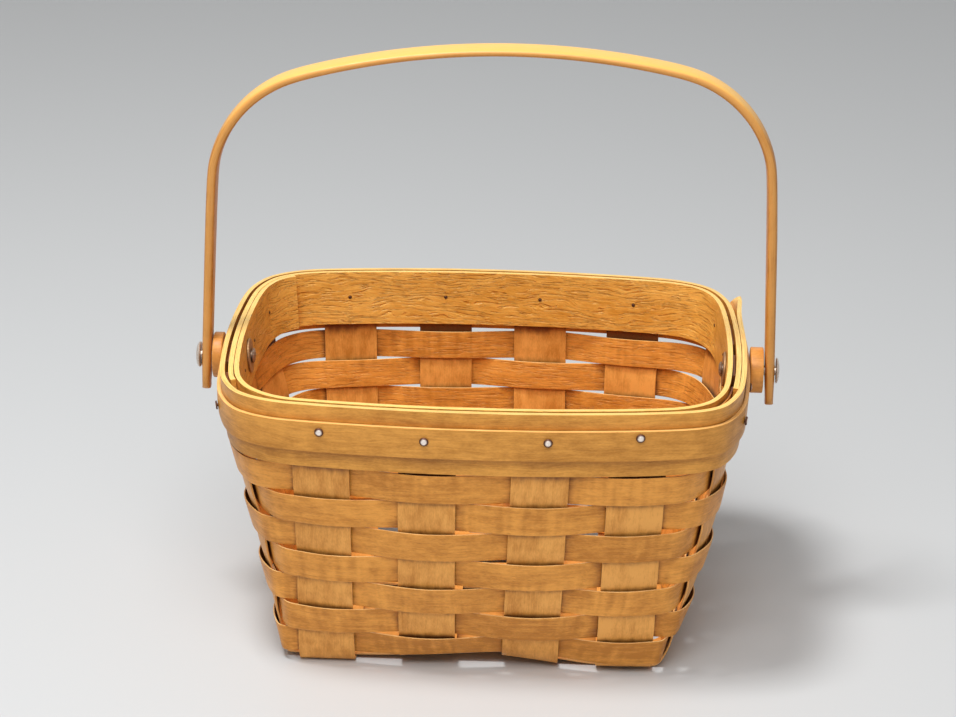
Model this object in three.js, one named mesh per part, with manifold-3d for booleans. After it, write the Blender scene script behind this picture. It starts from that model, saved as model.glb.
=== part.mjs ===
// Woven splint basket with nailed rim bands and a swinging bow handle.
// Millimetres, +Z up, +X to the right, open face up, standing on its woven base at z = 0.
import * as THREE from "three";
import { mergeVertices } from "three/addons/utils/BufferGeometryUtils.js";
import Module from "manifold-3d";

const wasm = await Module();
wasm.setup();

// Splints
const stakeWidth = 28.6;
const stakeThickness = 1.2;
const stakeWave = 0.8;
const weaverWidth = 15.6;
const weaverThickness = 1.0;
const weaverCornerBulge = 1.4;
// How far a weaver's edges stand off each stake at its middle, and the share left at its sides
const weaverBelly = { top: 1.8, bottom: 1 };
const bellyAtSides = 0.4;
const rowGap = 0.8;
const bandGap = 1.4;
const lapReach = 0.9;
const rowCount = 7;
const clearance = 0.3;
const baseGap = 0.5;

// Wall: size of the stakes' middle surface at the rim, under the bands and at the base
const rimHalfLength = 129.9;
const rimHalfDepth = 98.3;
const baseHalfLength = 98.5;
const sideWalls = {
  right: { bandDrawIn: 1.7, power: 1.7 },
  left: { bandDrawIn: 3, power: 1.12 },
};
const frontTiltAtRim = THREE.MathUtils.degToRad(1.5);
const frontTiltAtBase = THREE.MathUtils.degToRad(24);
const sideBowAtRim = 3;
const frontBowAtRim = 6;
const cornerLegAtRim = 40;
const cornerLegAtBase = 14;
const cornerLegSwell = 16;
const heelRise = 5.5;
const basketShiftX = -2;

// The middle of the base stands a little higher than its corners
const archRise = 5;
const archFade = 15;
const archTopX = 10;
const archTopY = 8;

// Stakes that run front to back, by their middles from the basket's centre line
const longStakes = [
  { front: -76.5, base: -75, back: -78, nailShift: 0.8, nailDepth: 13 },
  { front: -23, base: -23.5, back: -25, nailShift: -1, nailDepth: 14.8 },
  { front: 34, base: 29, back: 27, nailShift: 2.6, nailDepth: 13.8 },
  { front: 82, base: 77, back: 79, nailShift: -0.6, nailDepth: 11.4 },
];
// Stakes that run side to side
const crossStakeRimPitch = 43;
const crossStakeBasePitch = 37;
const crossStakeCount = 4;

// Rim
const bandWidth = 33.5;
const innerBandWidth = 30;
const bandThickness = 2.6;
const stakeTopDrop = 3;
const trimWidth = 15.9;
const trimThickness = 2.0;
const trimTop = 8.2;
const trimButtShare = 0.01;
// Ends of the lapped bands, as a share of half a stake's width from its middle, or past 1 as a
// share of the gap to the next stake
const outerBandStart = 0.36;
const outerBandEnd = 0.3;
const innerBandStart = 1.55;
const innerBandEnd = 0.33;
const outerBandSlant = 0.28;
const outerBandSplay = 6;

// Nails
const usualNailDepth = 14.5;
const nailHeadRadius = 2.3;
const nailHeadHeight = 1.1;
const nailShankRadius = 0.8;
const nailTip = 0.4;

// Handle
const pivotDepth = 14;
const legTail = 19;
const crownHeight = 168.6;
const crownRadius = 390;
const crownShift = 11.8;
const handleWidth = 15.6;
const legThickness = 5.6;
const legEndThickness = 4.4;
const crownThickness = 4.4;
const handleEdge = 1.2;
const hands = {
  right: {
    sign: 1,
    spacerLength: 6.7,
    lean: THREE.MathUtils.degToRad(1.76),
    shoulderRadius: 60.5,
    headHeight: 1.8,
  },
  left: {
    sign: -1,
    spacerLength: 5.1,
    lean: THREE.MathUtils.degToRad(2.5),
    shoulderRadius: 62.6,
    headHeight: 2.5,
  },
};

// Pivot hardware
const spacerRadius = 11.9;
const spacerEdge = 0.8;
const rivetShankRadius = 2.5;
const rivetHeadRadius = 6.7;
const clinchRadius = 4;
const clinchHeight = 1.6;
const washerRadius = 9;
const washerThickness = 1;

// Mesh fineness
const wallSteps = 400;
const cornerSteps = 5;
const heelSteps = 4;
const shoulderSteps = 8;
const crownSteps = 12;
const nailSides = 6;
const pivotSides = 16;
const roundSides = 24;

// Materials
const wood = (color) => new THREE.MeshStandardMaterial({ color, roughness: 0.55, metalness: 0 });
const stakeWood = wood(0xc98f4e);
const weaverWood = wood(0xc48746);
const bandWood = wood(0xc98c44);
const handleWood = wood(0xcf9656);
const spacerWood = wood(0xdba562);
const steel = new THREE.MeshStandardMaterial({ color: 0xc9c4bc, roughness: 0.3, metalness: 1 });

const basket = new THREE.Group();

function addMesh(name, geometry, material) {
  const mesh = new THREE.Mesh(geometry, material);
  mesh.name = name;
  basket.add(mesh);
}

// Wall profile: depth below the rim and draw-in of the front wall, by length along the wall.
// The bands hold the wall straight; below them it turns in more and more.
const rowPitch = weaverWidth + rowGap;
const wallLength = bandWidth + bandGap + rowCount * rowPitch;
const freeShare = (along) => Math.max(along - bandWidth, 0) / (wallLength - bandWidth);

function traceFrontWall() {
  const depth = [0];
  const drawIn = [0];
  const step = wallLength / wallSteps;
  for (let i = 1; i <= wallSteps; i += 1) {
    const bend = freeShare((i - 0.5) * step) ** 1.5;
    const tilt = THREE.MathUtils.lerp(frontTiltAtRim, frontTiltAtBase, bend);
    depth.push(depth[i - 1] + step * Math.cos(tilt));
    drawIn.push(drawIn[i - 1] + step * Math.sin(tilt));
  }
  return { depth, drawIn };
}

const frontWall = traceFrontWall();

function readProfile(values, along) {
  const place = THREE.MathUtils.clamp(along / wallLength, 0, 1) * wallSteps;
  const index = Math.min(Math.floor(place), wallSteps - 1);
  return THREE.MathUtils.lerp(values[index], values[index + 1], place - index);
}

const rimHeight = readProfile(frontWall.depth, wallLength) + heelRise;
const pivotHeight = rimHeight - pivotDepth;

// Plan outline of the stakes' middle surface at one level: four bowed sides and four corners,
// counted around from the middle of the front
const outlines = new Map();

function outlineAt(along) {
  const key = along.toFixed(4);
  if (!outlines.has(key)) {
    outlines.set(key, makeOutline(along));
  }
  return outlines.get(key);
}

function sideHalfLength({ bandDrawIn, power }, along) {
  const free = freeShare(along);
  const bandHalfLength = rimHalfLength - bandDrawIn;
  return free > 0
    ? THREE.MathUtils.lerp(bandHalfLength, baseHalfLength, free ** power)
    : THREE.MathUtils.lerp(rimHalfLength, bandHalfLength, along / bandWidth);
}

// A quarter of the outline, from the middle of the front to the middle of the right side
function quarterCurves(halfLength, halfDepth, along) {
  const free = freeShare(along);
  const swell = cornerLegSwell * Math.sin(Math.PI * free);
  const leg = THREE.MathUtils.lerp(cornerLegAtBase, cornerLegAtRim, (1 - free) ** 1.2) + swell;
  const sideBow = sideBowAtRim * (1 - free);
  const frontBow = frontBowAtRim * (1 - free ** 3);
  const frontEnd = new THREE.Vector2(halfLength - leg, halfDepth - frontBow);
  const sideEnd = new THREE.Vector2(halfLength - sideBow, halfDepth - leg);
  const frontSlope = (-2 * frontBow) / frontEnd.x;
  const sideSlope = (-2 * sideBow) / sideEnd.y;
  const run = sideEnd.x - frontEnd.x + sideSlope * (frontEnd.y - sideEnd.y);
  const reach = run / (1 - sideSlope * frontSlope);
  const corner = new THREE.Vector2(frontEnd.x + reach, frontEnd.y + frontSlope * reach);
  const front = new THREE.Vector2(0, halfDepth);
  const frontBend = new THREE.Vector2(frontEnd.x / 2, halfDepth);
  const side = new THREE.Vector2(halfLength, 0);
  const sideBend = new THREE.Vector2(halfLength, sideEnd.y / 2);
  return [
    [front, frontBend, frontEnd],
    [frontEnd, corner, sideEnd],
    [sideEnd, sideBend, side],
  ];
}

function makeOutline(along) {
  const halfDepth = rimHalfDepth - readProfile(frontWall.drawIn, along);
  const right = quarterCurves(sideHalfLength(sideWalls.right, along), halfDepth, along);
  const left = quarterCurves(sideHalfLength(sideWalls.left, along), halfDepth, along);
  const path = new THREE.CurvePath();
  const addQuarter = (quarter, signX, signY) => {
    const forwards = signX * signY < 0;
    for (const curve of forwards ? quarter : [...quarter].reverse()) {
      const points = curve.map((point) => new THREE.Vector2(point.x * signX, point.y * signY));
      const [from, control, to] = forwards ? points : points.reverse();
      path.add(new THREE.QuadraticBezierCurve(from, control, to));
    }
    return path.getLength();
  };
  const rightMiddle = addQuarter(right, 1, -1);
  const backMiddle = addQuarter(right, 1, 1);
  const leftMiddle = addQuarter(left, -1, 1);
  const total = addQuarter(left, -1, -1);
  path.updateArcLengths();
  return { path, total, middles: [0, rightMiddle, backMiddle, leftMiddle] };
}

// A point of the plan outline and its outward direction, by a distance around the basket
function planPoint(along, around) {
  const { path, total } = outlineAt(along);
  const share = THREE.MathUtils.euclideanModulo(around / total, 1);
  const tangent = path.getTangent(share);
  return { point: path.getPoint(share), out: new THREE.Vector2(tangent.y, -tangent.x) };
}

// A point on or beside the wall, with the wall's outward normal
function wallPoint(along, around, offset) {
  const probe = 0.5;
  const { point, out } = planPoint(along, around);
  const [top, bottom] = along <= bandWidth ? [0, bandWidth] : [bandWidth, wallLength];
  const [above, below] = [Math.max(along - probe, top), Math.min(along + probe, bottom)];
  const drift = planPoint(below, around).point.sub(planPoint(above, around).point).dot(out);
  const drop = readProfile(frontWall.depth, below) - readProfile(frontWall.depth, above);
  const normal = new THREE.Vector3(out.x * drop, out.y * drop, drift).normalize();
  const height = rimHeight - readProfile(frontWall.depth, along);
  const middle = new THREE.Vector3(point.x + basketShiftX, point.y, height);
  return { point: middle.addScaledVector(normal, offset), normal };
}

// Places around the basket: a stake's middle, its edges, or a share of the way to the next stake
const crossOffsets = Array.from({ length: crossStakeCount }, (_, i) => i - (crossStakeCount - 1) / 2);
const stakeRing = [
  ...longStakes.map(({ front, ...rest }) => ({ ...rest, side: 0, rim: front })),
  ...crossOffsets.map((k) => ({ side: 1, rim: k * crossStakeRimPitch, base: k * crossStakeBasePitch })),
  ...longStakes.map((stake) => ({ side: 2, rim: -stake.back, base: -stake.base })).reverse(),
  ...crossOffsets.map((k) => ({ side: 3, rim: k * crossStakeRimPitch, base: k * crossStakeBasePitch })),
];
const ringCount = stakeRing.length;
const firstRight = longStakes.length;
const firstBack = firstRight + crossStakeCount;
const firstLeft = firstBack + longStakes.length;

function stakeMiddle(index, along) {
  const turns = Math.floor(index / ringCount);
  const stake = stakeRing[index - turns * ringCount];
  const { middles, total } = outlineAt(along);
  const shift = THREE.MathUtils.lerp(stake.rim, stake.base, along / wallLength);
  return turns * total + middles[stake.side] + shift;
}

// A place is { stake, part } with part from -1 to 1 across the stake, and beyond 1 a share of the
// way on to the next stake's near edge
function placeAround(place, along) {
  const middle = stakeMiddle(place.stake, along);
  if (place.part <= 1) {
    return middle + (place.part * stakeWidth) / 2;
  }
  const start = middle + stakeWidth / 2;
  const end = stakeMiddle(place.stake + 1, along) - stakeWidth / 2;
  return THREE.MathUtils.lerp(start, end, place.part - 1);
}

const isCornerGap = (stake) => {
  const here = stakeRing[THREE.MathUtils.euclideanModulo(stake, ringCount)];
  const next = stakeRing[THREE.MathUtils.euclideanModulo(stake + 1, ringCount)];
  return here.side !== next.side;
};

// The places where every strip bends: both edges and the middle of a stake, and in a corner some
// more on the way to the next stake
function bendParts(stake) {
  const steps = isCornerGap(stake) ? cornerSteps : 1;
  const onTheWay = Array.from({ length: steps - 1 }, (_, i) => 1 + (i + 1) / steps);
  return [-1, 0, 1, ...onTheWay];
}

// All the places that a strip passes from one place to another, ends included
function placesBetween(from, to) {
  const places = [];
  for (let stake = from.stake; stake <= to.stake; stake += 1) {
    for (const part of bendParts(stake)) {
      const afterStart = stake > from.stake || part > from.part;
      const beforeEnd = stake < to.stake || part < to.part;
      if (afterStart && beforeEnd) {
        places.push({ stake, part });
      }
    }
  }
  return [from, ...places, to];
}

function between(from, to, share) {
  return {
    point: from.point.lerp(to.point, share),
    normal: from.normal.lerp(to.normal, share).normalize(),
  };
}

// A point on or beside the wall at a place, on the flat between the two nearest bends. The bands
// hold the wall straight from the rim to their lower edge.
function wallAt(along, { stake, part }, offset) {
  const bends = [...bendParts(stake), 2];
  const next = Math.max(bends.findIndex((bend) => bend >= part), 1);
  const share = THREE.MathUtils.inverseLerp(bends[next - 1], bends[next], part);
  const at = (level, bend) => wallPoint(level, placeAround({ stake, part: bend }, level), offset);
  const onFlat = (level) => between(at(level, bends[next - 1]), at(level, bends[next]), share);
  return along < bandWidth ? between(onFlat(0), onFlat(bandWidth), along / bandWidth) : onFlat(along);
}

// Strip from two sheets of points, outer and inner, each a grid of rows by columns
function stripGeometry(outer, inner) {
  const rows = outer.length;
  const columns = outer[0].length;
  const points = [...outer.flat(), ...inner.flat()];
  const outerAt = (i, j) => i * columns + j;
  const innerAt = (i, j) => rows * columns + outerAt(i, j);
  const faces = [];
  const quad = (a, b, c, d) => faces.push(a, b, c, a, c, d);
  for (let i = 0; i + 1 < rows; i += 1) {
    for (let j = 0; j + 1 < columns; j += 1) {
      quad(outerAt(i, j), outerAt(i, j + 1), outerAt(i + 1, j + 1), outerAt(i + 1, j));
      quad(innerAt(i, j), innerAt(i + 1, j), innerAt(i + 1, j + 1), innerAt(i, j + 1));
    }
    const last = columns - 1;
    quad(outerAt(i, 0), outerAt(i + 1, 0), innerAt(i + 1, 0), innerAt(i, 0));
    quad(outerAt(i, last), innerAt(i, last), innerAt(i + 1, last), outerAt(i + 1, last));
  }
  for (let j = 0; j + 1 < columns; j += 1) {
    quad(outerAt(0, j), innerAt(0, j), innerAt(0, j + 1), outerAt(0, j + 1));
    quad(outerAt(rows - 1, j), outerAt(rows - 1, j + 1), innerAt(rows - 1, j + 1), innerAt(rows - 1, j));
  }
  const geometry = new THREE.BufferGeometry().setFromPoints(points);
  geometry.setIndex(signedVolume(points, faces) > 0 ? faces : faces.reverse());
  return geometry;
}

function signedVolume(points, faces) {
  let volume = 0;
  for (let i = 0; i < faces.length; i += 3) {
    const [a, b, c] = [points[faces[i]], points[faces[i + 1]], points[faces[i + 2]]];
    volume += a.dot(b.clone().cross(c)) / 6;
  }
  return volume;
}

// Strip of even thickness around a grid of { point, normal } stations
function stripAround(grid, thickness) {
  const sheet = (shift) =>
    grid.map((row) => row.map(({ point, normal }) => point.clone().addScaledVector(normal, shift)));
  return stripGeometry(sheet(thickness / 2), sheet(-thickness / 2));
}

// Raises the middle of the base and of the walls' foot, but not the crossings in the four corners
const archEndX = Math.min(-longStakes.at(0).base, longStakes.at(-1).base) - stakeWidth / 2;
const archEndY = ((crossStakeCount - 1) * crossStakeBasePitch - stakeWidth) / 2;

function arched(geometry) {
  const position = geometry.attributes.position;
  const { smoothstep } = THREE.MathUtils;
  for (let i = 0; i < position.count; i += 1) {
    const z = position.getZ(i);
    const flatX = smoothstep(Math.abs(position.getX(i) - basketShiftX), archTopX, archEndX);
    const flatY = smoothstep(Math.abs(position.getY(i)), archTopY, archEndY);
    const fade = THREE.MathUtils.clamp((z - baseTop) / archFade, 0, 1);
    position.setZ(i, z + archRise * (1 - flatX * flatY) * (1 - fade) ** 2);
  }
  return geometry;
}

// Booleans
function toSolid(geometry) {
  const bare = geometry.clone();
  bare.deleteAttribute("normal");
  bare.deleteAttribute("uv");
  const merged = mergeVertices(bare, 1e-4);
  const index = merged.index.array;
  const whole = [];
  for (let i = 0; i < index.length; i += 3) {
    const [a, b, c] = [index[i], index[i + 1], index[i + 2]];
    if (a !== b && b !== c && c !== a) {
      whole.push(a, b, c);
    }
  }
  const vertProperties = new Float32Array(merged.attributes.position.array);
  const triVerts = new Uint32Array(whole);
  return new wasm.Manifold(new wasm.Mesh({ numProp: 3, vertProperties, triVerts }));
}

function toGeometry(solid) {
  const { vertProperties, triVerts } = solid.getMesh();
  const geometry = new THREE.BufferGeometry();
  geometry.setAttribute("position", new THREE.BufferAttribute(vertProperties, 3));
  geometry.setIndex(new THREE.BufferAttribute(triVerts, 1));
  return geometry;
}

function cutAll(geometry, tools) {
  const solid = tools.reduce((rest, tool) => rest.subtract(toSolid(tool)), toSolid(geometry));
  return toGeometry(solid);
}

// Round pieces: a profile of [radius, height] pairs turned about an axis and put in place
function turned(profile, sides, origin, axis) {
  const points = profile.map(([radius, height]) => new THREE.Vector2(radius, height));
  const geometry = new THREE.LatheGeometry(points, sides);
  const up = new THREE.Vector3(0, 1, 0);
  const turn = new THREE.Quaternion().setFromUnitVectors(up, axis);
  return geometry.applyQuaternion(turn).translate(origin.x, origin.y, origin.z);
}

// Distances of the layers from the stakes' middle surface
const weaverOffset = (stakeThickness + weaverThickness) / 2 + clearance;
const bandOffset = (stakeThickness + bandThickness) / 2 + clearance;
const layerStep = bandThickness + clearance;
const trimOffset = bandOffset + (bandThickness + trimThickness) / 2 + clearance;

const baseStep = (stakeThickness + baseGap) / 2;
const baseMiddle = stakeThickness / 2 + baseStep;
const baseTop = baseMiddle + baseStep + stakeThickness / 2;

// Weavers pass outside (1) or inside (-1) each stake in turn, and change from row to row
const weaverSide = (row, stake) => ((stake + row) % 2 === 0 ? 1 : -1);
const rowTop = (row) => bandWidth + bandGap + (row - 1) * rowPitch;

function weaverShift(place, row, belly) {
  const standOff = belly * THREE.MathUtils.lerp(1, bellyAtSides, Math.min(place.part ** 2, 1));
  const here = weaverSide(row, place.stake) * (weaverOffset + standOff);
  const turn = Math.PI * Math.max(place.part - 1, 0);
  const bulge = isCornerGap(place.stake) ? weaverCornerBulge * Math.sin(turn) : 0;
  return here * Math.cos(turn) + bulge;
}

// Each weaver is one strip whose end laps over its start outside one of the back stakes
function addWeaver(row) {
  const lapStake = firstBack + (row % longStakes.length);
  const start = { stake: lapStake, part: -lapReach };
  const end = { stake: lapStake + ringCount, part: lapReach };
  const grid = placesBetween(start, end).map((place) => {
    const lap = place.stake >= end.stake ? weaverThickness + clearance : 0;
    return [
      wallAt(rowTop(row), place, weaverShift(place, row, weaverBelly.top) + lap),
      wallAt(rowTop(row) + weaverWidth, place, weaverShift(place, row, weaverBelly.bottom) + lap),
    ];
  });
  addMesh(`weaver_${row}`, arched(stripAround(grid, weaverThickness)), weaverWood);
}

// Stakes: down one wall, under or over the stakes they cross in the base, and up the other wall
const acrossParts = [-1, 0, 1];

function wallStations(index) {
  const level = (along, shift) =>
    acrossParts.map((part) => wallAt(along, { stake: index, part }, shift));
  const stations = [level(stakeTopDrop, 0)];
  for (let row = 1; row <= rowCount; row += 1) {
    const top = row === 1 ? bandWidth : rowTop(row) - rowGap / 2;
    stations.push(level(top, 0));
    stations.push(level(top + rowPitch / 2, -stakeWave * weaverSide(row, index)));
  }
  stations.push(level(wallLength, 0));
  return stations;
}

// The bend from the foot of the wall to the base, a quadratic curve for each point across
function heelStations(foot, outwards, height) {
  const sideways = new THREE.Vector3(-outwards.y, outwards.x, 0);
  const curves = foot.map(({ point, normal }) => {
    const lean = -normal.z / Math.hypot(normal.x, normal.y);
    const crease = point.clone().addScaledVector(outwards, -(point.z - height) * lean).setZ(height);
    const landing = crease.clone().addScaledVector(outwards, -point.distanceTo(crease));
    return new THREE.QuadraticBezierCurve3(point, crease, landing);
  });
  return Array.from({ length: heelSteps }, (_, step) => {
    const t = (step + 1) / heelSteps;
    return curves.map((curve) => ({
      point: curve.getPoint(t),
      normal: curve.getTangent(t).cross(sideways).normalize(),
    }));
  });
}

// Stations at both edges and the middle of each crossing in the base
function baseStations(crossings, isUpper, pointAt) {
  return crossings.flatMap((crossing, k) => {
    const height = baseMiddle + (isUpper(k) ? baseStep : -baseStep);
    return acrossParts.map((way) =>
      acrossParts.map((part) => ({
        point: pointAt(crossing + (way * stakeWidth) / 2, part).setZ(height),
        normal: new THREE.Vector3(0, 0, -1),
      })),
    );
  });
}

function stakeGeometry(startIndex, endIndex, outwards, base) {
  const firstWall = wallStations(startIndex);
  const lastWall = wallStations(endIndex).map((station) => station.reverse());
  const inwards = outwards.clone().negate();
  const firstHeel = heelStations(firstWall.at(-1), outwards, base[0][0].point.z);
  const lastHeel = heelStations(lastWall.at(-1), inwards, base.at(-1)[0].point.z);
  const flat = base.slice(1, -1);
  const grid = [...firstWall, ...firstHeel, ...flat, ...lastHeel.reverse(), ...lastWall.reverse()];
  const strip = stripAround(grid, stakeThickness);
  return cutAll(arched(strip), [nailDrill(startIndex), nailDrill(endIndex)]);
}

const isLongUpper = (longIndex, crossIndex) => (longIndex + crossIndex) % 2 === 1;
const crossMiddles = crossOffsets.map((step) => step * crossStakeBasePitch);
const longMiddles = longStakes.map((stake) => stake.base + basketShiftX);

function addLongStake(k) {
  const pointAt = (y, part) => new THREE.Vector3(longMiddles[k] + (part * stakeWidth) / 2, y, 0);
  const base = baseStations(crossMiddles, (crossing) => isLongUpper(k, crossing), pointAt);
  const front = new THREE.Vector3(0, -1, 0);
  addMesh(`stake_long_${k + 1}`, stakeGeometry(k, firstLeft - 1 - k, front, base), stakeWood);
}

function addCrossStake(k) {
  const pointAt = (x, part) => new THREE.Vector3(x, crossMiddles[k] - (part * stakeWidth) / 2, 0);
  const base = baseStations(longMiddles, (crossing) => !isLongUpper(crossing, k), pointAt);
  const left = new THREE.Vector3(-1, 0, 0);
  const startIndex = ringCount - 1 - k;
  addMesh(`stake_cross_${k + 1}`, stakeGeometry(startIndex, firstRight + k, left, base), stakeWood);
}

// Rim bands: each is one strip, lapped at one end of the basket
const lastFront = firstRight - 1;
const lastRight = firstBack - 1;
const rampUp = (place, corner) => {
  const passed = place.stake > corner ? 1 : 0;
  return place.stake === corner ? THREE.MathUtils.smoothstep(place.part, 1, 2) : passed;
};

// How far a place is on the way from one place to another, counted in stakes
function howFar(from, to, place) {
  const count = ({ stake, part }) => stake + (part + 1) / 3;
  return THREE.MathUtils.inverseLerp(count(from), count(to), count(place));
}

// The outer band starts under its own end on the right, and its end stands off the back corner
function outerBandGeometry() {
  const start = { stake: firstRight, part: outerBandStart };
  const end = { stake: lastRight + ringCount, part: outerBandEnd };
  const leaving = { stake: end.stake - 1, part: 1 };
  const levels = [0, trimTop - clearance, bandWidth];
  const grid = placesBetween(start, end).map((place) => {
    const lap = rampUp(place, lastFront + ringCount) * layerStep;
    const ending = Math.max(howFar(leaving, end, place), 0);
    return levels.map((along, level) => {
      const splay = level === 0 ? outerBandSplay * ending ** 2 : 0;
      const slanted = { stake: place.stake, part: place.part + ending * outerBandSlant * level };
      return wallAt(along, slanted, bandOffset + lap + splay);
    });
  });
  return stripAround(grid, bandThickness);
}

// The inner band starts behind its own end on the left
function innerBandGeometry() {
  const lastLeft = ringCount - 1;
  const start = { stake: firstLeft - 1, part: innerBandStart };
  const end = { stake: lastLeft + ringCount, part: innerBandEnd };
  const grid = placesBetween(start, end).map((place) => {
    const lap = (1 - rampUp(place, lastLeft)) * layerStep;
    return [0, innerBandWidth].map((along) => wallAt(along, place, -bandOffset - lap));
  });
  return stripAround(grid, bandThickness);
}

// The trim strip rides over the outer band's lap, and its ends butt at the back
function trimGeometry() {
  const start = { stake: firstBack + 1, part: 1.5 + trimButtShare };
  const end = { stake: firstBack + 1 + ringCount, part: 1.5 - trimButtShare };
  const grid = placesBetween(start, end).map((place) => {
    const raised = rampUp(place, lastFront + ringCount) - rampUp(place, lastRight + ringCount);
    const shift = trimOffset + raised * layerStep;
    return [trimTop, trimTop + trimWidth].map((along) => wallAt(along, place, shift));
  });
  return stripAround(grid, trimThickness);
}

// Nails: one through the rim at each stake, square to the wall
const outerLap = (index) => (stakeRing[index].side === 1 ? layerStep : 0);
const innerLap = (index) => (stakeRing[index].side === 3 ? layerStep : 0);

function nailAxis(index) {
  const { nailShift = 0, nailDepth = usualNailDepth } = stakeRing[index];
  return wallAt(nailDepth, { stake: index, part: (nailShift * 2) / stakeWidth }, 0);
}

function nailDrill(index) {
  const { point, normal } = nailAxis(index);
  const reach = trimOffset + trimThickness + layerStep;
  return turned(plugProfile(nailShankRadius + clearance, -reach, reach), nailSides, point, normal);
}

function addNail(index, name) {
  const { point, normal } = nailAxis(index);
  const seat = trimOffset + trimThickness / 2 + outerLap(index) + clearance;
  const tip = -bandOffset - bandThickness / 2 - innerLap(index) - nailTip;
  const profile = [
    [0, tip],
    [nailShankRadius, tip],
    [nailShankRadius, seat],
    [nailHeadRadius, seat],
    [nailHeadRadius * 0.8, seat + nailHeadHeight * 0.6],
    [0, seat + nailHeadHeight],
  ];
  addMesh(name, turned(profile, nailSides, point, normal), steel);
}

// Pivots: the leg of each hand stands off the trim strip by a wooden spacer
const pivotPlace = ({ sign }) => ({
  stake: (sign > 0 ? firstRight : firstLeft) + crossStakeCount / 2 - 1,
  part: 1.5,
});
const legHalf = ({ lean }) => legThickness / 2 / Math.cos(lean);

function spacerStart(hand) {
  const lap = hand.sign > 0 ? layerStep : 0;
  const trimFace = wallAt(trimTop, pivotPlace(hand), trimOffset + trimThickness / 2 + lap);
  return Math.abs(trimFace.point.x) + clearance;
}

function pivotX(hand) {
  const leaning = Math.sin(hand.lean) * spacerRadius;
  return spacerStart(hand) + hand.spacerLength + leaning + clearance + legHalf(hand);
}

// Handle: a bow from leg to leg, with a round shoulder between each leg and the crown
const crownCentre = new THREE.Vector2(crownShift, pivotHeight + crownHeight - crownRadius);

// The leg and shoulder of one hand: the leg's ends, and the shoulder's centre and end angle
function bowSide(hand) {
  const { sign, lean, shoulderRadius } = hand;
  const foot = new THREE.Vector2(sign * pivotX(hand), pivotHeight);
  const up = new THREE.Vector2(-sign * Math.sin(lean), Math.cos(lean));
  const inwards = new THREE.Vector2(-sign * up.y, sign * up.x);
  const offset = foot.clone().addScaledVector(inwards, shoulderRadius).sub(crownCentre);
  const half = offset.dot(up);
  const rest = offset.lengthSq() - (crownRadius - shoulderRadius) ** 2;
  const rise = -half + Math.sqrt(half * half - rest);
  const shoulder = offset.addScaledVector(up, rise).add(crownCentre);
  return {
    legEnd: foot.clone().addScaledVector(up, -legTail),
    legTop: foot.clone().addScaledVector(up, rise),
    shoulder,
    turn: shoulder.clone().sub(crownCentre).angle(),
  };
}

function bowPath() {
  const [left, right] = [bowSide(hands.left), bowSide(hands.right)];
  const arc = (centre, radius, from, to) =>
    new THREE.EllipseCurve(centre.x, centre.y, radius, radius, from, to, true);
  const path = new THREE.CurvePath();
  path.add(new THREE.LineCurve(left.legEnd, left.legTop));
  path.add(arc(left.shoulder, hands.left.shoulderRadius, Math.PI - hands.left.lean, left.turn));
  path.add(arc(crownCentre, crownRadius, left.turn, right.turn));
  path.add(arc(right.shoulder, hands.right.shoulderRadius, right.turn, hands.right.lean));
  path.add(new THREE.LineCurve(right.legTop, right.legEnd));
  return path;
}

// Flat strap with eased edges, across the path's plane
function strapRing(point, outwards, thickness, width) {
  const [a, b] = [thickness / 2, width / 2];
  const edge = Math.min(handleEdge, b / 2);
  const outline = [
    [a, b - edge],
    [a - edge, b],
    [edge - a, b],
    [-a, b - edge],
    [-a, edge - b],
    [edge - a, -b],
    [a - edge, -b],
    [a, edge - b],
  ];
  return outline.map(
    ([out, y]) => new THREE.Vector3(point.x + outwards.x * out, y, point.y + outwards.y * out),
  );
}

function loftGeometry(rings) {
  const count = rings[0].length;
  const faces = [];
  for (let i = 0; i + 1 < rings.length; i += 1) {
    for (let j = 0; j < count; j += 1) {
      const [a, b] = [i * count + j, i * count + ((j + 1) % count)];
      faces.push(a, b, b + count, a, b + count, a + count);
    }
  }
  const last = (rings.length - 1) * count;
  for (let j = 1; j + 1 < count; j += 1) {
    faces.push(0, j + 1, j, last, last + j, last + j + 1);
  }
  const points = rings.flat();
  const geometry = new THREE.BufferGeometry().setFromPoints(points);
  geometry.setIndex(signedVolume(points, faces) > 0 ? faces : faces.reverse());
  return geometry;
}

function handleGeometry() {
  const path = bowPath();
  const total = path.getLength();
  const round = handleWidth / 2;
  const tipDistances = [0.02, 0.15, 0.45, 1].map((share) => share * round);
  const distances = [...tipDistances];
  const stepsByCurve = [1, shoulderSteps, crownSteps, shoulderSteps];
  let passed = 0;
  stepsByCurve.forEach((steps, index) => {
    const length = path.curves[index].getLength();
    for (let i = index === 0 ? 1 : 0; i < steps; i += 1) {
      distances.push(passed + (length * i) / steps);
    }
    passed += length;
    distances.push(passed);
  });
  distances.push(...tipDistances.reverse().map((distance) => total - distance));
  const places = distances.filter((distance, i) => i === 0 || distance - distances[i - 1] > 0.01);
  const legLength = path.curves[0].getLength();
  const rings = places.map((distance) => {
    const fromEnd = Math.min(distance, total - distance);
    const tangent = path.getTangent(distance / total);
    const outwards = new THREE.Vector2(-tangent.y, tangent.x);
    const inTip = Math.max(round - fromEnd, 0);
    const width = 2 * Math.sqrt(round * round - inTip * inTip);
    const tail = THREE.MathUtils.smoothstep(fromEnd, 0, legTail);
    const thin = THREE.MathUtils.smoothstep(fromEnd, legLength, total / 2);
    const leg = THREE.MathUtils.lerp(legEndThickness, legThickness, tail);
    const thickness = THREE.MathUtils.lerp(leg, crownThickness, thin);
    return strapRing(path.getPoint(distance / total), outwards, thickness, width);
  });
  return cutAll(loftGeometry(rings), [pivotDrill(hands.left), pivotDrill(hands.right)]);
}

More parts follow.
